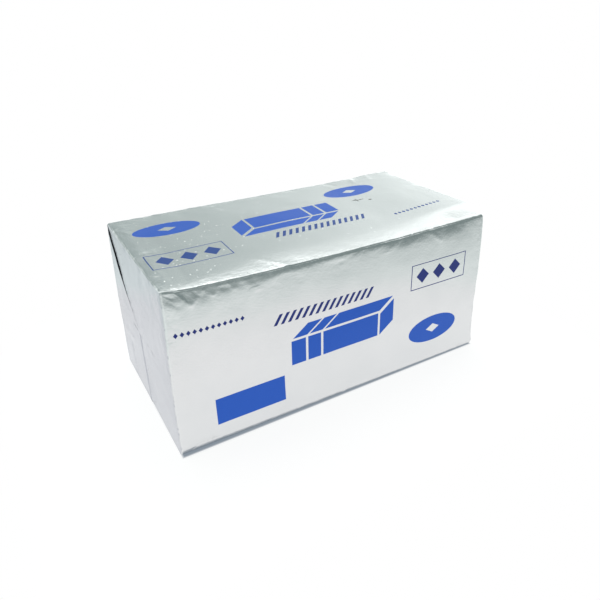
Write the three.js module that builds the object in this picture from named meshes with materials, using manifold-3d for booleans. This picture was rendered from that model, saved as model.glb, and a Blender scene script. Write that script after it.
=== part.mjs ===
// Wrapped butter block: a pound block of butter in one sheet of foil-faced paper.
// The sheet runs round the block as a tube, and each end is folded in like a parcel:
// bottom and top tucks first, then the front flap, and the back flap over all of them.
// Millimetres, +Z up. The block lies along X with its printed front towards -Y,
// and the origin is the middle of the face that it rests on.

import * as THREE from "three";
import { mergeVertices } from "three/addons/utils/BufferGeometryUtils.js";
import Module from "manifold-3d";

// Driving dimensions of the finished pack
const LENGTH = 127; // along X, over the flat folds of both ends
const DEPTH = 64.5; // along Y, front to back
const HEIGHT = 60; // along Z
const EDGE_RADIUS = 1.6; // where the wrapper turns over the butter's edges
const SWELL = 0.4; // how far the middle of a face stands out past its edges

// The wrapper's folds
const TUCK_THICKNESS = 0.3; // bottom tuck, pressed flat
const TOP_TUCK_THICKNESS = 0.45; // top tuck, which lies over the end of the bottom one
const FLAP_THICKNESS = 0.5; // front and back flaps, a double layer with some air in it
const TUCK_OVERLAP = 2; // how far the top tuck passes the middle of the end, over the bottom one
const FLAP_TIP = 1.5; // width left at the point of a front or back flap
const FLAP_RAMP = 3; // length over which a flap rises from the rounded edge to its thickness
const FLAP_LIFT = 1.4; // how far the back flap's upper edge has sprung away from the end
const SUNK = 0.4; // how far a sheet reaches into what it lies on, so that the two are one

// Fineness of the faceted surfaces
const ARC_STEPS = 3; // over half of a rounded edge
const FACE_STEPS = { x: 8, y: 5, z: 5 };

// How much a sheet narrows at both sides for each millimetre of depth. The flaps fold at
// 45 degrees, and the tucks narrow less, so that they run on under the flaps.
const FLAP_MITRE = 1;
const TUCK_MITRE = 0.85;

const BLOCK_LENGTH = LENGTH - 2 * (TUCK_THICKNESS + FLAP_THICKNESS);
const BLOCK_DEPTH = DEPTH - 2 * SWELL;
const BLOCK_HEIGHT = HEIGHT - SWELL;

const wasm = await Module();
wasm.setup();

// A closed geometry as a solid that can be joined to others.
function solidOf(geometry) {
  const bare = geometry.clone();
  bare.deleteAttribute("normal");
  bare.deleteAttribute("uv");
  const merged = mergeVertices(bare, 1e-4);
  return new wasm.Manifold(
    new wasm.Mesh({
      numProp: 3,
      vertProperties: merged.attributes.position.array,
      triVerts: new Uint32Array(merged.index.array),
    }),
  );
}

// A solid's surface as a geometry that three.js can draw.
function geometryOf(solid) {
  const mesh = solid.getMesh();
  const geometry = new THREE.BufferGeometry()
    .setAttribute("position", new THREE.BufferAttribute(mesh.vertProperties, 3))
    .setIndex(new THREE.BufferAttribute(mesh.triVerts, 1));
  geometry.computeVertexNormals();
  return geometry;
}

// Grid lines along one axis: even steps over the flat, then equal angles round each edge.
function gridLines(size, steps) {
  const flat = size / 2 - EDGE_RADIUS;
  const lines = [];
  for (let i = ARC_STEPS; i > 0; i--) {
    lines.push(-flat - EDGE_RADIUS * Math.tan((i / ARC_STEPS) * (Math.PI / 4)));
  }
  for (let i = 0; i <= steps; i++) {
    lines.push(-flat + (2 * flat * i) / steps);
  }
  for (let i = 1; i <= ARC_STEPS; i++) {
    lines.push(flat + EDGE_RADIUS * Math.tan((i / ARC_STEPS) * (Math.PI / 4)));
  }
  return lines;
}

// Bulge across a face, 1 at its middle and 0 at its edges.
function crown(a, b) {
  return Math.max(0, 1 - a * a) * Math.max(0, 1 - b * b);
}

// The butter in its wrapper without the end folds: a box with rounded edges,
// swollen a little at its front, back and top. Its underside stays flat.
function blockGeometry() {
  const lines = {
    x: gridLines(BLOCK_LENGTH, FACE_STEPS.x),
    y: gridLines(BLOCK_DEPTH, FACE_STEPS.y),
    z: gridLines(BLOCK_HEIGHT, FACE_STEPS.z),
  };
  const half = new THREE.Vector3(BLOCK_LENGTH, BLOCK_DEPTH, BLOCK_HEIGHT).multiplyScalar(0.5);
  const core = half.clone().subScalar(EDGE_RADIUS);
  const counts = ["x", "y", "z"].map((axis) => lines[axis].length - 1);
  const geometry = new THREE.BoxGeometry(1, 1, 1, ...counts);
  const position = geometry.attributes.position;
  const point = new THREE.Vector3();
  const inner = new THREE.Vector3();
  for (let i = 0; i < position.count; i++) {
    point.fromBufferAttribute(position, i);
    ["x", "y", "z"].forEach((axis, k) => {
      point[axis] = lines[axis][Math.round((point[axis] + 0.5) * counts[k])];
    });
    inner.copy(point).clamp(core.clone().negate(), core);
    point.sub(inner).setLength(EDGE_RADIUS).add(inner);
    const along = point.x / half.x;
    const across = point.y / half.y;
    const up = point.z / half.z;
    point.y += Math.sign(point.y) * SWELL * crown(along, up) * Math.abs(across);
    point.z += SWELL * crown(along, across) * Math.max(0, up);
    position.setXYZ(i, point.x, point.y, point.z + half.z);
  }
  return geometry;
}

// A closed slab between two sheets of points, outer(u, v) and inner(u, v),
// where u and v run from 0 to 1 and turn anticlockwise as seen from outside.
function slabGeometry(outer, inner, columns, rows) {
  const points = [];
  const triangles = [];
  const layer = (columns + 1) * (rows + 1);
  for (const sheet of [outer, inner]) {
    for (let j = 0; j <= rows; j++) {
      for (let i = 0; i <= columns; i++) {
        points.push(...sheet(i / columns, j / rows));
      }
    }
  }
  const quad = (a, b, c, d) => triangles.push(a, b, c, a, c, d);
  const at = (i, j) => j * (columns + 1) + i;
  for (let j = 0; j < rows; j++) {
    for (let i = 0; i < columns; i++) {
      const corners = [at(i, j), at(i + 1, j), at(i + 1, j + 1), at(i, j + 1)];
      quad(...corners);
      quad(...corners.reverse().map((corner) => corner + layer));
    }
  }
  const wall = (a, b) => quad(b, a, a + layer, b + layer);
  for (let i = 0; i < columns; i++) {
    wall(at(i, 0), at(i + 1, 0));
    wall(at(i + 1, rows), at(i, rows));
  }
  for (let j = 0; j < rows; j++) {
    wall(at(0, j + 1), at(0, j));
    wall(at(columns, j), at(columns, j + 1));
  }
  return new THREE.BufferGeometry()
    .setAttribute("position", new THREE.Float32BufferAttribute(points, 3))
    .setIndex(triangles);
}

// The four edges of the end that faces +X, anticlockwise from outside: the y and z of
// the edge's start, the way it runs, the way in from it, and its length.
const SIDE = DEPTH / 2 - SWELL - EDGE_RADIUS;
const EDGES = {
  bottom: { start: [-SIDE, EDGE_RADIUS], along: [1, 0], inward: [0, 1], length: 2 * SIDE },
  right: { start: [SIDE, EDGE_RADIUS], along: [0, 1], inward: [-1, 0] },
  top: { start: [SIDE, BLOCK_HEIGHT - EDGE_RADIUS], along: [-1, 0], inward: [0, -1], length: 2 * SIDE },
  left: { start: [-SIDE, BLOCK_HEIGHT - EDGE_RADIUS], along: [0, -1], inward: [1, 0] },
};
EDGES.right.length = BLOCK_HEIGHT - 2 * EDGE_RADIUS;
EDGES.left.length = EDGES.right.length;

// One folded flap on the +X end: a mitred sheet that starts at an edge of the end, lies on
// what is under it at height `base` and rises by `thickness`. `lift` raises its upper border.
function flapGeometry({ edge, mitre, depth, base, thickness, lift = 0, columns = 2, rows = 4 }) {
  const { start, along, inward, length } = EDGES[edge];
  const middle = BLOCK_HEIGHT / 2;
  const place = (u, v) => {
    const inset = v * depth;
    const side = mitre * inset + u * (length - 2 * mitre * inset);
    const y = start[0] + along[0] * side + inward[0] * inset;
    const z = start[1] + along[1] * side + inward[1] * inset;
    const halfWidth = length / 2 - mitre * inset;
    const towardsTop = Math.max(0, (z - middle) / halfWidth);
    const sprung = lift * towardsTop ** 2 * Math.sin(Math.PI * v);
    return { y, z, inset, sprung };
  };
  const blockEnd = BLOCK_LENGTH / 2;
  const outer = (u, v) => {
    const { y, z, inset, sprung } = place(u, v);
    const risen = THREE.MathUtils.smoothstep(inset, 0, FLAP_RAMP);
    return [blockEnd + (base + thickness) * risen + sprung, y, z];
  };
  const inner = (u, v) => {
    const { y, z, inset, sprung } = place(u, v);
    const risen = THREE.MathUtils.smoothstep(inset, 0, FLAP_RAMP);
    const sunk = (SUNK + base) * (1 - THREE.MathUtils.smoothstep(sprung, 0, SUNK));
    return [blockEnd + base * risen + sprung - sunk - (1 - risen) * SUNK, y, z];
  };
  return slabGeometry(outer, inner, columns, rows);
}

// All folds of the end that faces +X. `outerEdge` names the edge of the flap folded last,
// which has sprung open along its upper border, and `underEdge` the one across from it.
function endFolds(outerEdge, underEdge) {
  const tuckDepth = BLOCK_HEIGHT / 2 - EDGE_RADIUS;
  const tuck = { mitre: TUCK_MITRE, depth: tuckDepth, base: 0, thickness: TUCK_THICKNESS };
  const flap = {
    mitre: FLAP_MITRE,
    depth: (EDGES.right.length - FLAP_TIP) / (2 * FLAP_MITRE),
    base: TUCK_THICKNESS,
    thickness: FLAP_THICKNESS,
  };
  return [
    { ...tuck, edge: "bottom" },
    { ...tuck, edge: "top", depth: tuckDepth + TUCK_OVERLAP, thickness: TOP_TUCK_THICKNESS },
    { ...flap, edge: underEdge },
    { ...flap, edge: outerEdge, lift: FLAP_LIFT, columns: 8, rows: 10 },
  ].map(flapGeometry);
}

// The whole pack as one solid: the block, its +X end, and its -X end turned half round.
// The back flap lies outermost at both ends.
function packSolid() {
  const farEnd = endFolds("right", "left");
  const nearEnd = endFolds("left", "right").map((flap) => flap.rotateZ(Math.PI));
  return [...farEnd, ...nearEnd]
    .map(solidOf)
    .reduce((pack, flap) => pack.add(flap), solidOf(blockGeometry()));
}

const foil = new THREE.MeshStandardMaterial({
  name: "satin_foil",
  color: 0xd3d9db,
  roughness: 0.38,
  metalness: 0.9,
});

const pack = new THREE.Mesh(geometryOf(packSolid()), foil);
pack.name = "wrapped_block";

const butterBlock = new THREE.Group();
butterBlock.add(pack);

export default butterBlock;
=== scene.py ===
import bpy
import numpy as np
from mathutils import Matrix, Vector


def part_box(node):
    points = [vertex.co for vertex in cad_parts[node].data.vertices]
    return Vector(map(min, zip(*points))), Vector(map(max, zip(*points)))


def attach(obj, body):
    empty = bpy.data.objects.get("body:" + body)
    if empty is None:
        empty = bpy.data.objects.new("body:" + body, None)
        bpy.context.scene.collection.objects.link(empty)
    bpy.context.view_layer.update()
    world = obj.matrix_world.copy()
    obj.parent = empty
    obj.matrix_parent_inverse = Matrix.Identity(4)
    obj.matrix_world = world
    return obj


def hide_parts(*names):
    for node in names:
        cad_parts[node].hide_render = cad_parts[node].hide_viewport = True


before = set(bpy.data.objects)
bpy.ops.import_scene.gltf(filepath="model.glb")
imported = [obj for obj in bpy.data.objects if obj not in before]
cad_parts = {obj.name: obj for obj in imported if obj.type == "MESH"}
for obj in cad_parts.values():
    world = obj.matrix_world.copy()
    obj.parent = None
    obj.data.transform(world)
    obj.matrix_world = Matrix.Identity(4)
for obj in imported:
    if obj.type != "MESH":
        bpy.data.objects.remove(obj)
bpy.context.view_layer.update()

# The wrapper's course: one sheet of foil-faced paper, shut round the butter as a tube with a lap
# underneath. Past both ends of the block the tube is folded in like a parcel. The sheet is one grid
# of rows along the pack and columns round its girth, which doubles back on itself at each fold.
MM = 0.001
FLAP_STAND = 1.2 * MM  # how far the loosest flap stands off the end
_, block_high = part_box("wrapped_block")
END = block_high.x - FLAP_STAND  # half the butter's length
SIDE = block_high.y  # half its depth
HEIGHT = block_high.z
WIDTH = 2 * SIDE
GAP = 0.6 * MM  # between a tuck's border and the middle of the end
TAIL = HEIGHT / 2 - GAP  # length of the sheet past the block's end

# Panels in order round the girth. The bottom is in two halves, the first and the last.
BOTTOM, FRONT, TOP, BACK, LAST = range(5)


def eased(count, ease):
    """Fractions from 0 to 1 that crowd towards both ends: t less a share of sin(2 pi t) / (2 pi)."""
    t = np.linspace(0, 1, count + 1)
    return t - ease * np.sin(2 * np.pi * t) / (2 * np.pi)


def smooth(value, start, stop):
    """0 up to start, 1 from stop on, and the cubic 3 t^2 - 2 t^3 between them."""
    t = np.clip((value - start) / (stop - start), 0, 1)
    return t * t * (3 - 2 * t)


# Rows: each has a place along the block and a length past its end, where the sheet is folded in.
TUBE_ROWS = 170
TUBE_EASE = 0.72
TAIL_ROWS = 46
TAIL_CROWDING = 1.6  # power that draws the tail's rows towards the end's edge
tail = TAIL * (np.arange(1, TAIL_ROWS + 1) / TAIL_ROWS) ** TAIL_CROWDING
tube = END * (2 * eased(TUBE_ROWS, TUBE_EASE) - 1)
row_x = np.concatenate([np.full(TAIL_ROWS, -END), tube, np.full(TAIL_ROWS, END)])[:, None]
row_tail = np.concatenate([tail[::-1], np.zeros(TUBE_ROWS + 1), tail])[:, None]

# Columns: a crease column runs beside each long edge, meets it at the block's corner and then
# follows the diagonal fold, so that the gussets' columns and the flaps' columns never mix.
CREASE_OFFSET = 4 * MM
CREASE_MEETS = 14 * MM  # distance from the end over which the crease column nears the edge
CORNER_WIDTH = 0.6 * MM
GUSSET_COLUMNS = 14
GUSSET_EASE = 0.6
FLAP_COLUMNS = 62
FLAP_EASE = 0.72
FACE_COLUMNS = 76  # of the bottom and of the top
FACE_EASE = 0.8
crease = np.where(
    row_tail > 0,
    row_tail + CORNER_WIDTH * np.exp(-row_tail / CORNER_WIDTH),
    CORNER_WIDTH + (CREASE_OFFSET - CORNER_WIDTH) * smooth(END - np.abs(row_x), 0, CREASE_MEETS),
)


def side_columns(crease):
    """Distances down a side panel: a gusset, the flap and the other gusset, each eased at its ends."""
    gusset = crease * eased(GUSSET_COLUMNS, GUSSET_EASE)
    flap = crease + (HEIGHT - 2 * crease) * eased(FLAP_COLUMNS, FLAP_EASE)
    return np.concatenate([gusset[:, 1:], flap[:, 1:], HEIGHT - gusset[:, -2::-1]], axis=1)


across_bottom = WIDTH * eased(FACE_COLUMNS, FACE_EASE) + 0 * row_x
across_top = across_bottom[:, 1:]
middle = across_bottom.shape[1] // 2
courses = [across_bottom[:, middle:], side_columns(crease), across_top, side_columns(crease)]
courses.append(across_bottom[:, 1 : middle + 1])
across = np.concatenate(courses, axis=1)
panel = np.concatenate([np.full(course.shape[1], number) for number, course in enumerate(courses)])
panel_start = np.cumsum([-WIDTH / 2, WIDTH, HEIGHT, WIDTH, HEIGHT])
girth = panel_start[panel] + across

# Sharp course of the sheet. A side panel's flap lies in from the end's edge by the tail's length,
# and its gussets run level back under it from the ends of the tucks.
to_edge = np.minimum(across, HEIGHT - across)
flap_inset = np.minimum(to_edge, row_tail)
flap_level = np.clip(across, row_tail, HEIGHT - row_tail)
on_side = (panel == FRONT) | (panel == BACK)
sharp = np.stack(
    [
        row_x + 0 * across,
        np.select(
            [panel == FRONT, panel == TOP, panel == BACK],
            [flap_inset - SIDE, across - SIDE, SIDE - flap_inset],
            SIDE - across,
        ),
        np.select(
            [panel == FRONT, panel == TOP, panel == BACK],
            [flap_level, HEIGHT - row_tail + 0 * across, HEIGHT - flap_level],
            row_tail + 0 * across,
        ),
    ],
    axis=-1,
)
x, y, z = np.moveaxis(sharp, -1, 0)

# The butter's edges are rounded, with the sheet drawn tight over them.
RADIUS = 0.8 * MM
core_low = [RADIUS - END, RADIUS - SIDE, RADIUS]
core_high = [END - RADIUS, SIDE - RADIUS, HEIGHT - RADIUS]
core = np.clip(sharp, core_low, core_high)
outward = (sharp - core) / np.linalg.norm(sharp - core, axis=-1, keepdims=True)
surface = core + RADIUS * outward

# Layers of the end folds: tucks lowest, then the gussets that climb from the tucks to the flaps,
# then the flaps, the back one over the front one. The back flap's upper border has sprung open.
TUCK = 0.03 * MM  # height over the butter's end, as the next two are
FRONT_FLAP = 0.2 * MM
BACK_FLAP = 0.34 * MM
SHEET = 0.06 * MM  # thickness of the sheet
LIP = 0.3 * MM  # half width of a fold's round edge
LAYER_START = 0.2 * MM  # distance from the end's edge where the layers start to part
LAYER_RAMP = 3 * MM  # and where they have parted
NEAR_LIFT = 0.14 * MM  # how far the back flap's upper border stands off at each end
FAR_LIFT = 0.2 * MM
LIFT_SKEW = 0.6  # power that draws the widest opening towards the end's edge
PRESSED_SHARE = 0.15  # share of a flap's height that is left at its lower border
PRESSED_LIP = 1.5 * MM  # half width of that border, which sinks among the tucks
PRESSED_SINK = 0.1 * MM
RAISED_FROM, RAISED_TO = 0.45 * HEIGHT, 0.7 * HEIGHT  # heights between which a flap comes loose
FLAP_CLOSES = 0.75  # share of its height that a flap loses towards its point
CLOSES_FROM, CLOSES_TO = 0.4 * TAIL, 0.75 * TAIL  # lengths of tail between which it does
closed = FLAP_CLOSES * smooth(row_tail, CLOSES_FROM, CLOSES_TO)
raised = smooth(z, RAISED_FROM, RAISED_TO) * (1 - closed)
flap_rise = PRESSED_SHARE + (1 - PRESSED_SHARE) * raised
lip = PRESSED_LIP + (LIP - PRESSED_LIP) * raised
flap_height = np.where(panel == BACK, BACK_FLAP, FRONT_FLAP) * flap_rise
climb = np.clip(to_edge / np.maximum(row_tail, MM), 0, 1)
gusset_height = flap_height - 2 * SHEET * flap_rise - PRESSED_SINK * (1 - raised)
under = TUCK + (gusset_height - TUCK) * climb
over = smooth(to_edge - row_tail, -lip, lip)
upper_half = np.clip((z - HEIGHT / 2) / (HEIGHT / 2 - row_tail + LIP), 0, 1) ** 2
lift = np.where(row_x < 0, NEAR_LIFT, FAR_LIFT) * np.sin(np.pi * (row_tail / TAIL) ** LIFT_SKEW)
lift = (panel == BACK) * lift * upper_half * climb
layer = np.where(on_side, under + (flap_height - under) * over + lift, TUCK)
outline = np.minimum(np.minimum(z, HEIGHT - z), SIDE - np.abs(y))
parted = smooth(outline, LAYER_START, LAYER_RAMP)
surface[..., 0] += np.sign(row_x) * (row_tail > 0) * layer * parted

# Swollen faces, as soft butter has them, a bowed near end, a foot where the block has settled, and
# the lap underneath, which sinks the inner edge.
SWELL = 0.25 * MM  # how far the middle of a face stands out past its edges
BOW = 0.5 * MM  # how far the middle of the near end stands out past its upper and lower edge
FOOT = (0.3 * MM, 0.8 * MM)  # at the ends and at the sides
FOOT_HEIGHT = 18 * MM
LAP = 0.25 * MM  # depth that the inner edge sinks by
LAP_LEFT = 0.1  # share of it that is left on the tucks, which are pressed flat


def crown(a, b):
    """Bulge across a face, 1 in its middle and 0 at its edges: (1 - a^2)(1 - b^2)."""
    return np.clip(1 - a * a, 0, 1) * np.clip(1 - b * b, 0, 1)


along_share = x / END
depth_share = y / SIDE
height_share = 2 * z / HEIGHT - 1
foot = np.clip(1 - z / FOOT_HEIGHT, 0, 1) ** 2
surface[..., 0] += (SWELL * crown(depth_share, height_share) + FOOT[0] * foot) * along_share
surface[..., 0] -= BOW * np.sin(np.pi * z / HEIGHT) * (1 - along_share) / 2
surface[..., 1] += (SWELL * crown(along_share, height_share) + FOOT[1] * foot) * depth_share
surface[..., 2] += SWELL * crown(along_share, depth_share) * np.clip(height_share, 0, 1)
lap = LAP * (panel == BOTTOM) * np.clip(1 - np.abs(y) / SIDE, 0, 1)
lap = lap * (LAP_LEFT + (1 - LAP_LEFT) * (1 - smooth(row_tail, 0, LAYER_RAMP)))
surface -= lap[..., None] * outward

# The upper front edge has been rolled over by a hand: the top sinks towards it, the front leans back
# towards it, and a narrow facet is pressed below it. The far end's upper edge has sprung up, and the
# lower edges are bevelled, widest at the near end.
ROLL = (  # millimetres from the near end, depth that the top sinks by, and its reach
    (0, 0.1, 2),
    (8, 0.35, 3.5),
    (20, 0.7, 10),
    (35, 1.1, 18),
    (95, 1.1, 18),
    (115, 1.0, 16),
    (127, 0.2, 6),
)
ROLL_SETTLES = 25 * MM  # height of the front over which the sinking evens out
ROLL_POWER = 3
ROLL_WAVER = 0.3  # share of the roll's depth that wavers
SLUMP = ((0, 0), (10, 1.0), (90, 1.0), (127, 0.9))  # the same, and how much lower the front edge lies
FACET = (  # the same, slope of the facet, its height and how softly it bends
    (0, 0.1, 5, 0.6),
    (12, 0.15, 5, 0.8),
    (24, 0.2, 3.2, 0.7),
    (37, 0.32, 1.7, 0.4),
    (51, 0.28, 1.4, 0.3),
    (60, 0.1, 0.9, 0.4),
    (68, 0.32, 1.0, 0.7),
    (90, 0.42, 1.5, 1),
    (103, 0.42, 1.7, 1.4),
    (115, 0.18, 5, 1.4),
    (127, 0.06, 3.2, 1.4),
)
LEAN_SLOPE = 0.05  # of the front's upper part
LEAN_HEIGHT = 15 * MM
LEAN_SOFTNESS = 3 * MM
PROUD = 0.5 * MM  # how far the front stands out below that
GIVE_REACH = 14 * MM  # how far the top gives way behind the edge
END_ROLL_DEPTH = 0.6 * MM  # along the near end's upper edge
END_ROLL_REACH = 4 * MM
END_ROLL_STARTS = 8 * MM  # distance from the corners over which that deepens
SPRING = 2.6 * MM  # how far the far end's upper edge has sprung up close to the front
SPRING_BACK = 0.8 * MM  # and at the back
SPRING_REACH = 40 * MM  # length of the top that has lifted with it
SPRING_STOPS = 11 * MM  # distance from the front over which it comes down again
BEVEL_HEIGHT = (3.6 * MM, 2.0 * MM)  # at the near end and at the far end
BEVEL_SLOPE = 0.5
BEVEL_REACH = 10 * MM  # depth of the underside over which it ends
WAVER = ((14 * MM, 0.2), (4 * MM, 0.2))  # size of the unevenness along the edges, and its share
WAVER_SEED = 3
from_near = x + END
from_front = y + SIDE
below_top = HEIGHT - z
NOISE_CELLS = 256  # cubes after which the noise comes round again


def soft_noise(points, size, seed):
    """Smooth random field of about -1 to 1: random slopes at the corners of cubes of that size,
    each times the way from its corner, blended by the quintic 6 t^5 - 15 t^4 + 10 t^3."""
    rng = np.random.default_rng(seed)
    shuffle = rng.permutation(NOISE_CELLS)
    slopes = rng.normal(size=(NOISE_CELLS, 3))
    cell = points / size
    base = np.floor(cell).astype(int)
    part = cell - base
    fade = part**3 * (part * (part * 6 - 15) + 10)
    total = 0
    for corner in np.ndindex(2, 2, 2):
        pick = 0
        for key in np.moveaxis(base + corner, -1, 0):
            pick = shuffle[(pick + key) % NOISE_CELLS]
        weight = np.prod(np.where(corner, fade, 1 - fade), axis=-1)
        total = total + weight * np.sum(slopes[pick] * (part - corner), axis=-1)
    return total


def bent(distance, height, softness):
    """How far a plane bent at that height has come away from the straight one, per unit of slope:
    softness log(1 + exp((height - distance) / softness))."""
    return softness * np.logaddexp(0, (height - distance) / softness)


def along_edge(table):
    """Each further column of a table whose first is millimetres from the near end, at every point."""
    places, *columns = np.transpose(table)
    return [np.interp(from_near / MM, places, column) for column in columns]


waver = 1
for seed, (size, share) in enumerate(WAVER, WAVER_SEED):
    waver = waver + share * soft_noise(sharp, size, seed)
facet_slope, facet_height, facet_softness = along_edge(FACET)
pressed = facet_slope * bent(below_top, MM * facet_height * waver, MM * facet_softness)
pressed = pressed + LEAN_SLOPE * bent(below_top, LEAN_HEIGHT, LEAN_SOFTNESS)
surface[..., 1] += (pressed - PROUD) * (1 - smooth(from_front, 0, GIVE_REACH))
roll_depth, roll_reach = along_edge(ROLL)
(slump,) = along_edge(SLUMP)
roll = MM * roll_depth * (1 - ROLL_WAVER + ROLL_WAVER * waver)
roll = roll * np.clip(1 - from_front / (MM * roll_reach), 0, 1) ** ROLL_POWER
roll = roll + MM * slump * (1 - depth_share) / 2
surface[..., 2] -= roll * (1 - smooth(below_top, 0, ROLL_SETTLES))
end_roll = np.clip(1 - from_near / END_ROLL_REACH, 0, 1)
end_roll = end_roll * np.clip(1 - below_top / END_ROLL_REACH, 0, 1)
surface[..., 2] -= END_ROLL_DEPTH * waver * end_roll**2 * smooth(SIDE - np.abs(y), 0, END_ROLL_STARTS)
sprung = (1 - smooth(END - x, 0, SPRING_REACH)) * (1 - smooth(below_top, 0, ROLL_SETTLES))
surface[..., 2] += SPRING * sprung * (1 - depth_share) / 2 * smooth(from_front, 0, SPRING_STOPS)
surface[..., 2] += SPRING_BACK * sprung * np.clip(depth_share, 0, 1) ** 2
bevel = BEVEL_HEIGHT[0] + (BEVEL_HEIGHT[1] - BEVEL_HEIGHT[0]) * (along_share + 1) / 2
cut_back = BEVEL_SLOPE * np.clip(bevel - z, 0, None) * (1 - smooth(SIDE - np.abs(y), 0, BEVEL_REACH))
surface[..., 1] -= np.sign(y) * cut_back

# Unevenness of the butter under the foil, in three sizes.
WAVES = ((26 * MM, 0.12 * MM), (11 * MM, 0.05 * MM), (4.5 * MM, 0.02 * MM))  # size and height
WAVES_SEED = 11
relief = 0
for seed, (size, wave_height) in enumerate(WAVES, WAVES_SEED):
    relief = relief + wave_height * soft_noise(sharp, size, seed)

# How handled each spot is: 1 at the block's edges, falling off over a few millimetres. Foil that
# has been handled is crinkled into small ridges, and the folded ends are rumpled all over.
HANDLED_REACH = 5 * MM
CALM_BACK = 0.6  # share of it that is missing at the back
CRINKLES = ((6 * MM, 0.1 * MM), (2.6 * MM, 0.06 * MM), (1.4 * MM, 0.03 * MM))  # size and height
CRINKLES_SEED = 31
RUMPLE_SIZE = 8 * MM
RUMPLE_HEIGHT = 0.12 * MM
RUMPLE_REACH = 6 * MM  # length past the block's end over which the rumples grow
RUMPLE_SEED = 41
plane_distances = np.stack([END - np.abs(x), SIDE - np.abs(y), np.minimum(z, HEIGHT - z)], axis=-1)
edge_distance = np.sort(plane_distances, axis=-1)[..., 1]
handled = np.exp(-edge_distance / HANDLED_REACH) * (1 - CALM_BACK * smooth(y, 0, SIDE))
for seed, (size, ridge_height) in enumerate(CRINKLES, CRINKLES_SEED):
    relief = relief - ridge_height * handled * np.abs(soft_noise(sharp, size, seed))
rumple = RUMPLE_HEIGHT * smooth(row_tail, 0, RUMPLE_REACH)
relief = relief - rumple * np.abs(soft_noise(sharp, RUMPLE_SIZE, RUMPLE_SEED))

# Dents along the edges, and short sharp creases that start at them and run in over a face.
DENTS = 90
DENT_SIZE = (1.5, 3.5)  # least and greatest, in millimetres, as the depth is
DENT_DEPTH = (0.02, 0.13)
CREASES = 420
CREASE_SLANT = 0.9  # spread of a crease's run along the edge, for one unit in from it
CREASE_LENGTH = (2, 2.2)  # shape and scale of the gamma spread of lengths, in millimetres
CREASE_HEIGHT = 0.08  # spread of the heights in millimetres, ridges and grooves alike
CREASE_WIDTH = (0.25, 0.7)  # least and greatest, in millimetres
WEAR_SEED = 45
rng = np.random.default_rng(WEAR_SEED)
half_box = np.array([END, SIDE, HEIGHT / 2])
box_middle = np.array([0, 0, HEIGHT / 2])


def edge_points(count):
    """Points spread over the block's twelve edges by their length, each with the axis of its edge."""
    axis = rng.choice(3, count, p=half_box / half_box.sum())
    point = np.sign(rng.uniform(-1, 1, (count, 3)))
    point[np.arange(count), axis] = rng.uniform(-1, 1, count)
    return box_middle + point * half_box, axis


dent_places, _ = edge_points(DENTS)
dent_sizes = rng.uniform(*DENT_SIZE, DENTS) * MM
dent_depths = rng.uniform(*DENT_DEPTH, DENTS) * MM
for dent_place, dent_size, dent_depth in zip(dent_places, dent_sizes, dent_depths):
    relief = relief - dent_depth * np.exp(-np.sum((sharp - dent_place) ** 2, axis=-1) / dent_size**2)


def ridge(points, start, stop, width):
    """1 on the straight line between two points, falling off as exp(-distance / width) from it."""
    line = stop - start
    share = np.clip((points - start) @ line / (line @ line), 0, 1)
    return np.exp(-np.linalg.norm(points - start - share[..., None] * line, axis=-1) / width)


starts, axes = edge_points(CREASES)
for start, axis in zip(starts, axes):
    face = rng.choice([other for other in range(3) if other != axis])
    inward = np.zeros(3)
    inward[3 - axis - face] = -np.sign(start - box_middle)[3 - axis - face]
    inward[axis] = rng.normal(0, CREASE_SLANT)
    length = rng.gamma(*CREASE_LENGTH) * MM
    stop = start + inward / np.linalg.norm(inward) * length
    crease_height = rng.normal(0, CREASE_HEIGHT) * MM
    crease_width = rng.uniform(*CREASE_WIDTH) * MM
    relief = relief + crease_height * ridge(sharp, start, stop, crease_width)


# Creases that show: the crumpled corner at the upper left of the front, the groove above its lower
# edge, folds in the near end, and the crumples over that end's upper edge.
def front_spot(along, down):
    """A point of the front, millimetres from its left edge and from its upper edge."""
    return np.array([along * MM - END, -SIDE, HEIGHT - down * MM])


def near_spot(along, down):
    """A point of the near end, millimetres from its back edge and from its upper edge."""
    return np.array([-END, SIDE - along * MM, HEIGHT - down * MM])


def top_spot(along, forward):
    """A point of the top, millimetres from its left edge and from its back edge."""
    return np.array([along * MM - END, SIDE - forward * MM, HEIGHT])


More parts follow.
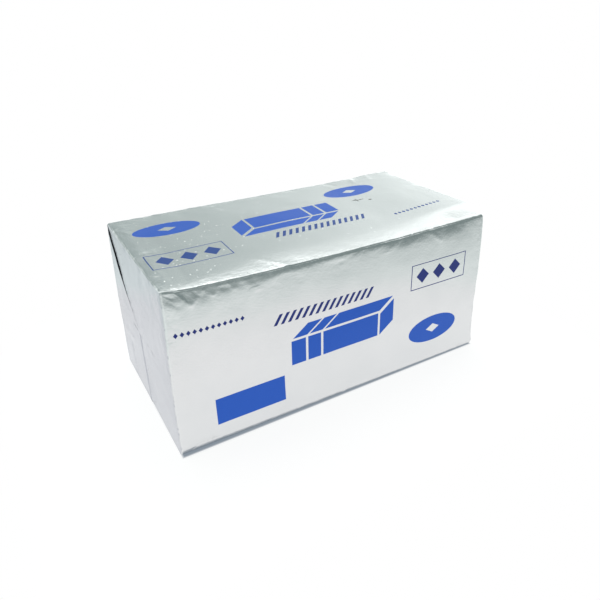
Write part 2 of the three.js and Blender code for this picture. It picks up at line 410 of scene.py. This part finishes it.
SHOWN_CREASES = (  # ends, height and width in millimetres
    (front_spot(4, 0.6), front_spot(8.5, 5.2), 0.13, 0.6),
    (front_spot(8.5, 5.2), front_spot(12.5, 1.0), 0.13, 0.5),
    (front_spot(12.5, 1.0), front_spot(15.5, 3.4), 0.13, 0.5),
    (front_spot(15.5, 3.4), front_spot(17.5, 1.0), 0.15, 0.4),
    (front_spot(20, 0.8), front_spot(22.5, 3.0), 0.14, 0.5),
    (front_spot(25, 0.8), front_spot(26, 2.6), 0.15, 0.4),
    (front_spot(6.5, 1.5), front_spot(7.5, 3.5), -0.15, 0.5),
    (front_spot(10, 1.2), front_spot(11, 2.6), -0.15, 0.5),
    (front_spot(18, 1.6), front_spot(20, 2.0), -0.15, 0.6),
    (front_spot(1.5, 3), front_spot(5, 5), -0.15, 0.9),
    (front_spot(1, 1), front_spot(3.5, 2.4), -0.15, 0.6),
    (front_spot(0.5, 56.4), front_spot(126, 57.9), -0.3, 0.3),
    (front_spot(1.5, 55.6), front_spot(12, 55.8), 0.25, 0.35),
    (near_spot(4, 41), near_spot(20, 38), 0.3, 1.3),
    (near_spot(14, 44), near_spot(14.5, 57), -0.3, 1.0),
    (near_spot(33, 50), near_spot(35, 58), 0.3, 1.0),
    (near_spot(30, 29), near_spot(38, 24), 0.2, 1.0),
    (near_spot(17, 15.5), near_spot(29, 27.5), 0.25, 0.5),
    (top_spot(0, 37), top_spot(7, 34), 0.3, 0.6),
    (near_spot(13, 1.5), top_spot(2, 14), -0.3, 0.8),
    (near_spot(25, 1), top_spot(1.5, 26), -0.35, 0.7),
    (near_spot(31, 2), top_spot(2.5, 30), 0.25, 0.6),
    (near_spot(43, 1.5), top_spot(2, 42), -0.3, 0.8),
    (near_spot(53, 1), top_spot(3, 54), -0.3, 0.7),
    (front_spot(55, 1.5), front_spot(62, 2.0), 0.1, 0.35),
)
for start, stop, crease_height, crease_width in SHOWN_CREASES:
    relief = relief + crease_height * MM * ridge(sharp, start, stop, crease_width * MM)

# The relief stands out from the sharp course, less on the underside, which the pack's weight flattens.
REST_HEIGHT = 2 * MM  # height over which the relief comes up to its full share
REST_SHARE = 0.25  # share of it that is left underneath
relief_share = REST_SHARE + (1 - REST_SHARE) * smooth(z, 0, REST_HEIGHT)
surface += (relief * relief_share)[..., None] * outward
surface[..., 2] = np.maximum(surface[..., 2], 0)

# The grid as a closed mesh: the lap's wall shuts the tube, and a point level with the tucks each end.
SHEET_SPAN = 0.26  # metres of sheet to one unit of its map
rows, columns = across.shape
over_middle = (panel == TOP) & (np.abs(y[0]) < SIDE - TAIL)
poles = [(surface[row, over_middle, 0].mean(), 0, HEIGHT / 2) for row in (0, -1)]
vertices = np.concatenate([surface.reshape(-1, 3), poles])
number = np.arange(rows * columns).reshape(rows, columns)
beside = np.roll(number, -1, axis=1)
quads = np.stack([number[:-1], number[1:], beside[1:], beside[:-1]], axis=-1).reshape(-1, 4)
near_fan = np.stack([np.full(columns, rows * columns), number[0], beside[0]], axis=-1)
far_fan = np.stack([number[-1], np.full(columns, rows * columns + 1), beside[-1]], axis=-1)
wrapper_mesh = bpy.data.meshes.new("wrapper")
wrapper_mesh.from_pydata(vertices, [], [*quads.tolist(), *near_fan.tolist(), *far_fan.tolist()])
wrapper_mesh.polygons.foreach_set("use_smooth", np.ones(len(wrapper_mesh.polygons), bool))

# Its map is the flat sheet: u along the pack, tails included, and v round the girth.
sheet_x = row_x + np.sign(row_x) * row_tail  # along the flat sheet
sheet_u = (sheet_x + END + TAIL) / SHEET_SPAN + 0 * across
sheet_v = girth / SHEET_SPAN
beside_v = np.concatenate([sheet_v[:, 1:], sheet_v[:, -1:] + LAP / SHEET_SPAN], axis=1)


def face_map(corners_u, corners_v):
    """Map places of like faces, corner by corner: the arrays of their corners' u and v, interleaved."""
    places = np.stack([np.stack(corners_u, axis=-1), np.stack(corners_v, axis=-1)], axis=-1)
    return places.reshape(-1, 2).astype(np.float32)


sheet_places = [
    face_map(
        [sheet_u[:-1], sheet_u[1:], sheet_u[1:], sheet_u[:-1]],
        [sheet_v[:-1], sheet_v[1:], beside_v[1:], beside_v[:-1]],
    ),
    face_map(
        [sheet_u[0] - GAP / SHEET_SPAN, sheet_u[0], sheet_u[0]],
        [sheet_v[0], sheet_v[0], beside_v[0]],
    ),
    face_map(
        [sheet_u[-1], sheet_u[-1] + GAP / SHEET_SPAN, sheet_u[-1]],
        [sheet_v[-1], sheet_v[-1], beside_v[-1]],
    ),
]
sheet_map = wrapper_mesh.uv_layers.new(name="sheet")
sheet_map.uv.foreach_set("vector", np.concatenate(sheet_places).ravel())
handled_points = np.concatenate([handled.ravel(), [0, 0]]).astype(np.float32)
wrapper_mesh.attributes.new("handled", "FLOAT", "POINT").data.foreach_set("value", handled_points)
wrapper = bpy.data.objects.new("wrapper", wrapper_mesh)
bpy.context.scene.collection.objects.link(wrapper)


# The wrapper's finish: bare satin foil with one blue ink and one navy ink. The printing is plain
# fields and simple shapes, the same label upright on the front and turned round on the top and back.
class Wire:
    """A value in a shader: one output socket, with the sums that Math nodes do on it."""

    def __init__(self, socket):
        self.socket = socket
        self.tree = socket.id_data

    def add(self, kind, settings=(), inputs=(), output=0):
        """A new node: its settings first, then the value or link of each input. Gives one output."""
        node = self.tree.nodes.new(kind)
        for name, value in dict(settings).items():
            setattr(node, name, value)
        for name, value in dict(inputs).items():
            if isinstance(value, Wire):
                self.tree.links.new(value.socket, node.inputs[name])
            else:
                node.inputs[name].default_value = value
        return Wire(node.outputs[output])

    def feed(self, socket):
        self.tree.links.new(self.socket, socket)

    def math(self, operation, *values, clamp=False):
        settings = {"operation": operation, "use_clamp": clamp}
        return self.add("ShaderNodeMath", settings, dict(enumerate(values)))

    def __add__(self, other):
        return self.math("ADD", self, other)

    def __sub__(self, other):
        return self.math("SUBTRACT", self, other)

    def __rsub__(self, other):
        return self.math("SUBTRACT", other, self)

    def __mul__(self, other):
        return self.math("MULTIPLY", self, other)

    def __truediv__(self, other):
        return self.math("DIVIDE", self, other)

    def __pow__(self, other):
        return self.math("POWER", self, other)

    def __neg__(self):
        return self.math("MULTIPLY", self, -1.0)

    def __abs__(self):
        return self.math("ABSOLUTE", self)

    __radd__ = __add__
    __rmul__ = __mul__

    def least(self, other):
        return self.math("MINIMUM", self, other)

    def most(self, other):
        return self.math("MAXIMUM", self, other)

    def above(self, limit):
        return self.math("GREATER_THAN", self, limit)

    def clamped(self):
        return self.math("ADD", self, 0.0, clamp=True)

    def ramp(self, start, stop):
        """0 up to start, 1 from stop on, and a straight line between them."""
        return ((self - start) / (stop - start)).clamped()

    def part(self, axis):
        """The x, y or z of this vector, as axis is 0, 1 or 2."""
        return self.add("ShaderNodeSeparateXYZ", {}, {0: self}, output=axis)

    def mixed(self, first, second):
        """One colour where this value is 0 and the other where it is 1."""
        settings = {"data_type": "RGBA"}
        return self.add("ShaderNodeMix", settings, {0: self, 6: first, 7: second}, output=2)


foil = bpy.data.materials.new("printed_foil")
foil.use_nodes = True
foil_shader = foil.node_tree.nodes["Principled BSDF"]
place = Wire(foil.node_tree.nodes.new("ShaderNodeTexCoord").outputs["Object"])
spot = place.add("ShaderNodeUVMap", {"uv_map": "sheet"})

# Label places in millimetres: from the label's left edge, and down from its upper edge.
MAP_MM = SHEET_SPAN / MM
LENGTH_MM = 2 * END / MM
FRONT_END, TOP_END, BACK_END = (panel_start[[TOP, BACK, LAST]] / MM).tolist()
FRONT_START = panel_start[FRONT] / MM
TOP_SHIFT = (6.0, 3.0)  # how far the top's label lies from where the front's would
along_sheet = spot.part(0) * MAP_MM - TAIL / MM
round_sheet = spot.part(1) * MAP_MM
past_front = round_sheet.above(FRONT_END)
past_top = round_sheet.above(TOP_END)
on_top = past_front - past_top
on_label = round_sheet.above(FRONT_START) - round_sheet.above(BACK_END)
label_x = along_sheet + past_front * (LENGTH_MM - 2 * along_sheet) - on_top * TOP_SHIFT[0]
label_y = (
    (FRONT_END - round_sheet)
    + past_front * (2 * round_sheet - 2 * FRONT_END)
    - past_top * (TOP_END - FRONT_END)
    - on_top * TOP_SHIFT[1]
)


# Depths in millimetres inside a shape's outline, negative outside it.
def box_depth(left, right, upper, lower):
    """Inside a rectangle, the distance to the nearest side."""
    return (label_x - left).least(right - label_x).least((label_y - upper).least(lower - label_y))


def oval_depth(middle_x, middle_y, half_width, half_height):
    """Inside an ellipse, near its rim, (1 - distance over radius) times the lesser radius."""
    over_x = (label_x - middle_x) / half_width
    over_y = (label_y - middle_y) / half_height
    return (1 - (over_x * over_x + over_y * over_y) ** 0.5) * min(half_width, half_height)


def lozenge_depth(from_middle, middle_y, half_width, half_height):
    """Inside a lozenge, 1 - |x| / a - |y| / b, times the height over its side."""
    height = half_width * half_height / np.hypot(half_width, half_height).item()
    return (1 - abs(from_middle) / half_width - abs(label_y - middle_y) / half_height) * height


def line_depth(depth, thickness):
    """Inside a line drawn along the outline where depth is 0."""
    return thickness / 2 - abs(depth)


# A pictogram of a block of butter in slanting view, with cuts for slices, stands in the middle.
BLOCK_LEFT, BLOCK_RIGHT = 41.0, 77.0
BLOCK_TOP, BLOCK_RIM, BLOCK_FOOT = 24.0, 29.0, 39.0
BLOCK_DEEP = 6.5  # how far the end face runs to the right
CUT_PLACES = (47.0, 53.0)
CUT_WIDTH = 0.9
climb_mm = (BLOCK_RIM - label_y).most(0.0)
slant_x = label_x - climb_mm * (BLOCK_DEEP / (BLOCK_RIM - BLOCK_TOP))
block_depth = (slant_x - BLOCK_LEFT).least(BLOCK_RIGHT - slant_x)
block_depth = block_depth.least((label_y - BLOCK_TOP).least(BLOCK_FOOT - label_y))
block_depth = block_depth.least(abs(label_y - BLOCK_RIM) - CUT_WIDTH / 2)
for cut_place in CUT_PLACES:
    block_depth = block_depth.least(abs(slant_x - cut_place) - CUT_WIDTH / 2)
end_x = label_x - (BLOCK_RIGHT + CUT_WIDTH)
slant_y = label_y + end_x * ((BLOCK_RIM - BLOCK_TOP) / BLOCK_DEEP)
end_depth = end_x.least(BLOCK_DEEP - CUT_WIDTH / 2 - end_x)
end_depth = end_depth.least((slant_y - BLOCK_RIM - CUT_WIDTH).least(BLOCK_FOOT - slant_y))

# Blue fields: a plain rectangle on the front and back, an oval in its place on the top, and a
# second oval. Each oval has a lozenge left bare in it.
BAR = (13.0, 38.0, 42.0, 52.0)  # left, right, upper and lower side
OVAL_HALF = (12.2, 5.7)  # half sizes
LEFT_OVAL = (25.0, 46.0)  # middles
RIGHT_OVAL = (104.5, 44.5)
OVAL_LOZENGE = (3.4, 1.9)  # half sizes


def badge_depth(middle_x, middle_y):
    """An oval less a lozenge in its middle."""
    lozenge = lozenge_depth(label_x - middle_x, middle_y, *OVAL_LOZENGE)
    return oval_depth(middle_x, middle_y, *OVAL_HALF).least(-lozenge)


bar_depth = box_depth(*BAR) - on_top * LENGTH_MM
left_badge = badge_depth(*LEFT_OVAL) - (1 - on_top) * LENGTH_MM
blue_depth = block_depth.most(end_depth).most(bar_depth).most(left_badge).most(badge_depth(*RIGHT_OVAL))

# Navy lines: a thin frame round three lozenges, a rope border of slanting strokes, and a dotted rule.
FRAME = (92.0, 118.5, 13.5, 24.5)  # left, right, upper and lower side
FRAME_LINE = 0.35  # thickness
FRAME_LOZENGES = (97.25, 105.25, 113.25)
FRAME_LOZENGE_HALF = (3.0, 3.4)  # half sizes
ROPE = (34.0, 15, 17.2, 21.4)  # left end, number of strokes, upper and lower border
ROPE_PITCH = 2.6
ROPE_STROKE = 1.25
ROPE_SLANT = 0.55  # sideways run of a stroke for each unit of its height
DOTS = (2.0, 25.2, 14.5)  # left end, right end and height of the row's middle
DOT_PITCH = 1.93
DOT_HALF = (0.72, 0.95)  # half sizes
navy_depth = line_depth(box_depth(*FRAME), FRAME_LINE)
for lozenge_x in FRAME_LOZENGES:
    lozenge = lozenge_depth(label_x - lozenge_x, (FRAME[2] + FRAME[3]) / 2, *FRAME_LOZENGE_HALF)
    navy_depth = navy_depth.most(lozenge)
rope_x = label_x + (label_y - ROPE[3]) * ROPE_SLANT - ROPE[0]
rope_place = rope_x.math("FLOORED_MODULO", rope_x, ROPE_PITCH)
rope_depth = (ROPE_STROKE / 2 - abs(rope_place - ROPE_PITCH / 2)).least(rope_x)
rope_depth = rope_depth.least(ROPE[1] * ROPE_PITCH - rope_x)
rope_depth = rope_depth.least((label_y - ROPE[2]).least(ROPE[3] - label_y))
dot_x = label_x - DOTS[0]
dot_place = dot_x.math("FLOORED_MODULO", dot_x, DOT_PITCH)
dot_depth = lozenge_depth(dot_place - DOT_PITCH / 2, DOTS[2], *DOT_HALF)
dot_depth = dot_depth.least(dot_x.least(DOTS[1] - label_x))
navy_depth = navy_depth.most(rope_depth).most(dot_depth)

# Small scuffs on the top, where dirt has been rubbed into the foil: a few thin lozenges.
SCUFFS = (  # middle and half sizes
    (29.2, 35.4, 1.6, 0.5),
    (26.6, 35.1, 2.0, 0.4),
    (28.4, 35.1, 0.5, 1.8),
    (23.2, 33.0, 0.8, 0.8),
)
SCUFF_EDGE = 0.3  # millimetres over which a scuff fades
SCUFF_SHARE = 0.85  # how much of the foil it hides


def cover(depth, edge):
    """1 inside an outline and 0 outside it, with a straight fade over that many millimetres."""
    return (depth / edge + 0.5).clamped()


scuffed = 0.0
for scuff_x, scuff_y, half_x, half_y in SCUFFS:
    scuff_depth = lozenge_depth(label_x - scuff_x, scuff_y, half_x, half_y)
    scuffed = cover(scuff_depth, SCUFF_EDGE).most(scuffed)

# Colours: foil in two shades that cloud into each other, darker on the end folds as painted shade for
# ends turned from the brightest light, and over it the inks, which are pigment with a little of the
# foil's shine.
FOIL_COLOUR = (0.775, 0.78, 0.785, 1)
FOIL_SHADE = (0.73, 0.74, 0.75, 1)
# painted shade: the end folds' darker foil colour stands in for the shade they lie in
FOIL_END_SHADE = (0.52, 0.535, 0.58, 1)
SCUFF = (0.12, 0.12, 0.11, 1)
BLUE = (0.01, 0.117, 0.65, 1)
NAVY = (0.012, 0.03, 0.23, 1)
NAVY_LIT_ON_TOP = (0.012, 0.068, 0.34, 1)  # on the top: a lighter navy, painted light for the brighter light that falls on the top
INK_EDGE = 0.08  # millimetres over which a printed edge fades
INK_COVER = 0.85  # share of the foil's metal that ink hides
INK_SHEEN = 0.36  # how much the inks reflect, as pigment under a thin varnish does
CLOUDS = (90.0, 3.0)  # features to a metre, and detail


def noise(scale, detail):
    """Soft noise of about 0 to 1 in the pack's own space."""
    return place.add("ShaderNodeTexNoise", {}, {"Vector": place, "Scale": scale, "Detail": detail})


blue_ink = cover(blue_depth, INK_EDGE) * on_label
navy_ink = cover(navy_depth, INK_EDGE) * on_label
inked = blue_ink.most(navy_ink)
clouds = noise(*CLOUDS)
past_ends = (-along_sheet).most(along_sheet - LENGTH_MM).clamped()
# the foil past the block's ends takes that darker colour: painted shade
bare_colour = past_ends.mixed(clouds.mixed(FOIL_COLOUR, FOIL_SHADE), FOIL_END_SHADE)
bare_colour = (scuffed * on_top * on_label * SCUFF_SHARE).mixed(bare_colour, SCUFF)
# the navy is lighter on the top: painted light
colour = navy_ink.mixed(blue_ink.mixed(bare_colour, BLUE), on_top.mixed(NAVY, NAVY_LIT_ON_TOP))
colour.feed(foil_shader.inputs["Base Color"])
(1 - inked * INK_COVER).feed(foil_shader.inputs["Metallic"])
foil_shader.inputs["Specular IOR Level"].default_value = INK_SHEEN

# Shine: satin foil, a little rougher in its clouds and under ink. Smooth specks on the top, each in
# a cell of its own, are tilted towards the light and glint. They thin out towards the far end.
FOIL_ROUGHNESS = 0.2
CLOUD_ROUGHNESS = 0.1
INK_ROUGHNESS = 0.12
FLAKE_GLOSS = 0.12  # how much smoother a speck is
FLAKE_CELLS = 620.0  # to a metre
FLAKE_SIZE = 0.15  # radius of a speck as a share of its cell
FLAKE_RARITY = 0.52  # share of the cells without one at the near end
FLAKE_THINNING = 0.45  # how much that grows over the pack's length
FLAKE_TILT = (0.05, 0.24, 0.1, 1)  # towards the light low behind the pack
UNTILTED = (0, 0, 0, 1)
cells = place.add("ShaderNodeTexVoronoi", {}, {"Vector": place, "Scale": FLAKE_CELLS})
chance = Wire(cells.socket.node.outputs["Color"])
rarity = along_sheet * (FLAKE_THINNING / LENGTH_MM) + FLAKE_RARITY
flake = (FLAKE_SIZE - cells).above(0.0) * chance.above(rarity) * on_top * (1 - inked)
roughness = clouds * CLOUD_ROUGHNESS + FOIL_ROUGHNESS + inked * INK_ROUGHNESS - flake * FLAKE_GLOSS
roughness.feed(foil_shader.inputs["Roughness"])

# Grain: fine all over, with sharp small folds where the foil was handled, and coarser where the top
# and the ends are rubbed.
GRAIN = (1500.0, 2.0)  # features to a metre, and detail
GRAIN_SHARE = 0.8
CRINKLE = (420.0, 3.0)
SPECKLE = (650.0, 2.0)
RUBBED_FROM, RUBBED_TO = 0.4, 0.65  # cloudiness between which the foil gets rubbed
GRAIN_DEPTH = 0.05 * MM
handled_spot = place.add("ShaderNodeAttribute", {"attribute_name": "handled"}, {}, output="Fac")
folds = 1 - abs(noise(*CRINKLE) * 2 - 1) * 2  # sharp ridges where the noise crosses its middle
rubbed = clouds.ramp(RUBBED_FROM, RUBBED_TO) * (on_top + past_ends).clamped()
grain_height = noise(*GRAIN) * GRAIN_SHARE + folds * handled_spot + noise(*SPECKLE) * rubbed
grain_inputs = {"Height": grain_height, "Strength": 1.0, "Distance": GRAIN_DEPTH}
grained = place.add("ShaderNodeBump", {}, grain_inputs)
flake_tilt = flake.mixed(UNTILTED, FLAKE_TILT)
tilted = place.add("ShaderNodeVectorMath", {"operation": "ADD"}, {0: grained, 1: flake_tilt})
facing_way = place.add("ShaderNodeVectorMath", {"operation": "NORMALIZE"}, {0: tilted})
facing_way.feed(foil_shader.inputs["Normal"])
wrapper_mesh.materials.append(foil)
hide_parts("wrapped_block")
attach(wrapper, "root")

# The stage: a round pale floor that glows and fades into a white surround, with a painted contact
# shadow, a dark line in its glow where the pack touches it. Its rings crowd towards the middle as the
# squares of even shares of the radius.
FLOOR_RADIUS = 125 * MM
FLOOR_RINGS = 24
FLOOR_TURNS = 96
FLOOR_SHADE = (0.2, 0.2, 0.2, 1)
FLOOR_ROUGHNESS = 0.9
FLOOR_SHEEN = 0.1
WHITE = (1, 1, 1, 1)
GLOW = (0.87, 0.87, 0.87, 1)  # light that the floor gives out by itself
# painted contact shadow: the floor's glow is dimmed to this colour where the pack touches it
CONTACT_SHADOW = (0.19, 0.225, 0.27, 1)  # the same where the pack touches it
GLOW_FROM, GLOW_TO = -0.6 * MM, 0.3 * MM  # distances from the pack between which it grows
WHITE_FROM, WHITE_TO = 5 * MM, 50 * MM  # and between which the floor turns plain white
floor_angles = np.linspace(0, 2 * np.pi, FLOOR_TURNS + 1)[:-1]
floor_shares = np.linspace(0, 1, FLOOR_RINGS + 1)[1:] ** 2
floor_turn, floor_out = np.meshgrid(floor_angles, floor_shares)
floor_ways = [floor_out * np.cos(floor_turn), floor_out * np.sin(floor_turn), 0 * floor_out]
floor_points = FLOOR_RADIUS * np.stack(floor_ways, axis=-1)
floor_number = np.arange(floor_out.size).reshape(floor_out.shape)
floor_next = np.roll(floor_number, -1, axis=1)
floor_quads = np.stack([floor_number[:-1], floor_number[1:], floor_next[1:], floor_next[:-1]], axis=-1)
floor_mesh = bpy.data.meshes.new("floor")
floor_faces = [floor_number[0].tolist(), *floor_quads.reshape(-1, 4).tolist()]
floor_mesh.from_pydata(floor_points.reshape(-1, 3), [], floor_faces)
floor = bpy.data.objects.new("floor", floor_mesh)
bpy.context.scene.collection.objects.link(floor)
paper = bpy.data.materials.new("floor_paper")
paper.use_nodes = True
paper_shader = paper.node_tree.nodes["Principled BSDF"]
paper_shader.inputs["Base Color"].default_value = FLOOR_SHADE
paper_shader.inputs["Roughness"].default_value = FLOOR_ROUGHNESS
paper_shader.inputs["Specular IOR Level"].default_value = FLOOR_SHEEN
paper_shader.inputs["Emission Strength"].default_value = 1.0
spread = Wire(paper.node_tree.nodes.new("ShaderNodeTexCoord").outputs["Object"])
beside_pack = (abs(spread.part(0)) - END).most(abs(spread.part(1)) - SIDE - FOOT[1])
# the floor's glow, with the painted contact shadow next to the pack
floor_glow_and_shadow = beside_pack.ramp(GLOW_FROM, GLOW_TO).mixed(CONTACT_SHADOW, GLOW)
floor_glow_and_shadow.feed(paper_shader.inputs["Emission Color"])
white = spread.add("ShaderNodeEmission", {}, {"Color": WHITE, "Strength": 1.0})
paper_parts = {0: beside_pack.ramp(WHITE_FROM, WHITE_TO), 1: Wire(paper_shader.outputs[0]), 2: white}
faded = spread.add("ShaderNodeMixShader", {}, paper_parts)
faded.feed(paper.node_tree.nodes["Material Output"].inputs["Surface"])
floor_mesh.materials.append(paper)

# The light: a bright room all round, drawn on the surround as soft patches. It is strongest above the
# pack and along the horizon behind it, and the pale table lights it from below.
LIGHTS = (  # strength, direction, and a power that narrows the patch
    (2.0, (0.15, 0.4, 0.9), 18.0),
    (0.64, (0.807, 0.565, 0.174), 6.0),
    (1.2, (0.77, 0.28, 0.574), 16.0),
    (1.6, (-0.45, 0.3, 0.84), 12.0),
    (0.45, (-0.55, -0.75, 0.4), 4.0),
)
HORIZON = 2.2
HORIZON_SIDE = (0.5, 0.866, 0.0)
HORIZON_POWER = 8.0  # narrows it in height
BELOW = 0.72  # light from under the horizon
BELOW_FROM, BELOW_TO = 0.05, -0.45  # heights of the directions between which it grows
LIGHT_TINT = (0.99, 1.0, 0.98)
AMBIENT = 0.28
COOL = 0.1  # cool light behind the pack
COOL_SIDE = (0.0, 1.0, 0.1)
COOL_POWER = 4.0
COOL_TINT = (0.8, 1.0, 0.98)
world = bpy.data.worlds.new("studio")
bpy.context.scene.world = world
world.use_nodes = True
surround = world.node_tree.nodes["Background"]
way = Wire(world.node_tree.nodes.new("ShaderNodeTexCoord").outputs["Generated"])
way_up = way.part(2)


def lobe(direction, power):
    """How much a direction faces the given one: the cosine between them, not under 0, to a power."""
    pair = {0: way, 1: Vector(direction).normalized()}
    facing = way.add("ShaderNodeVectorMath", {"operation": "DOT_PRODUCT"}, pair, output="Value")
    return facing.most(0.0) ** power


def tinted(tint, strength):
    """A colour times a strength."""
    return way.add("ShaderNodeVectorMath", {"operation": "SCALE"}, {0: tint, "Scale": strength})


light = BELOW * way_up.ramp(BELOW_FROM, BELOW_TO)
light = light + HORIZON * (1 - abs(way_up)) ** HORIZON_POWER * lobe(HORIZON_SIDE, 1.0)
for strength, direction, power in LIGHTS:
    light = light + strength * lobe(direction, power)
cool_light = AMBIENT + COOL * lobe(COOL_SIDE, COOL_POWER)
colours = {0: tinted(COOL_TINT, cool_light), 1: tinted(LIGHT_TINT, light)}
room = way.add("ShaderNodeVectorMath", {"operation": "ADD"}, colours)
seen = way.add("ShaderNodeLightPath", {}, {}, output="Is Camera Ray")
seen.mixed(room, WHITE).feed(surround.inputs["Color"])

# The camera stands at the photograph's own viewpoint, which was fitted to the pack's corners, with the
# shift that the photograph was cropped by.
VIEW_AZIMUTH, VIEW_ELEVATION, VIEW_ROLL = np.radians([-32.426, 24.779, 0.353]).tolist()
VIEW_DISTANCE = 231.87 * MM
VIEW_TARGET = Vector((14.08 * MM, 0, 39.57 * MM))
VIEW_FOCAL = 572.914  # in pixels of the photograph's frame
VIEW_CENTRE = (332.684, 258.156)  # where the lens's axis meets that frame
FRAME_SIZE = 600
VIEW_STARTS = 10 * MM  # distance from which the camera sees
camera = bpy.data.objects.new("camera", bpy.data.cameras.new("camera"))
bpy.context.scene.collection.objects.link(camera)
camera.data.lens = camera.data.sensor_width * VIEW_FOCAL / FRAME_SIZE
camera.data.shift_x = (FRAME_SIZE / 2 - VIEW_CENTRE[0]) / FRAME_SIZE
camera.data.shift_y = (VIEW_CENTRE[1] - FRAME_SIZE / 2) / FRAME_SIZE
camera.data.clip_start = VIEW_STARTS
back = Vector(
    (
        np.sin(VIEW_AZIMUTH) * np.cos(VIEW_ELEVATION),
        -np.cos(VIEW_AZIMUTH) * np.cos(VIEW_ELEVATION),
        np.sin(VIEW_ELEVATION),
    )
)
camera.matrix_world = (
    Matrix.Translation(VIEW_TARGET + back * VIEW_DISTANCE)
    @ (-back).to_track_quat("-Z", "Y").to_matrix().to_4x4()
    @ Matrix.Rotation(VIEW_ROLL, 4, "Z")
)
bpy.context.scene.camera = camera
bpy.context.scene.view_settings.view_transform = "Standard"
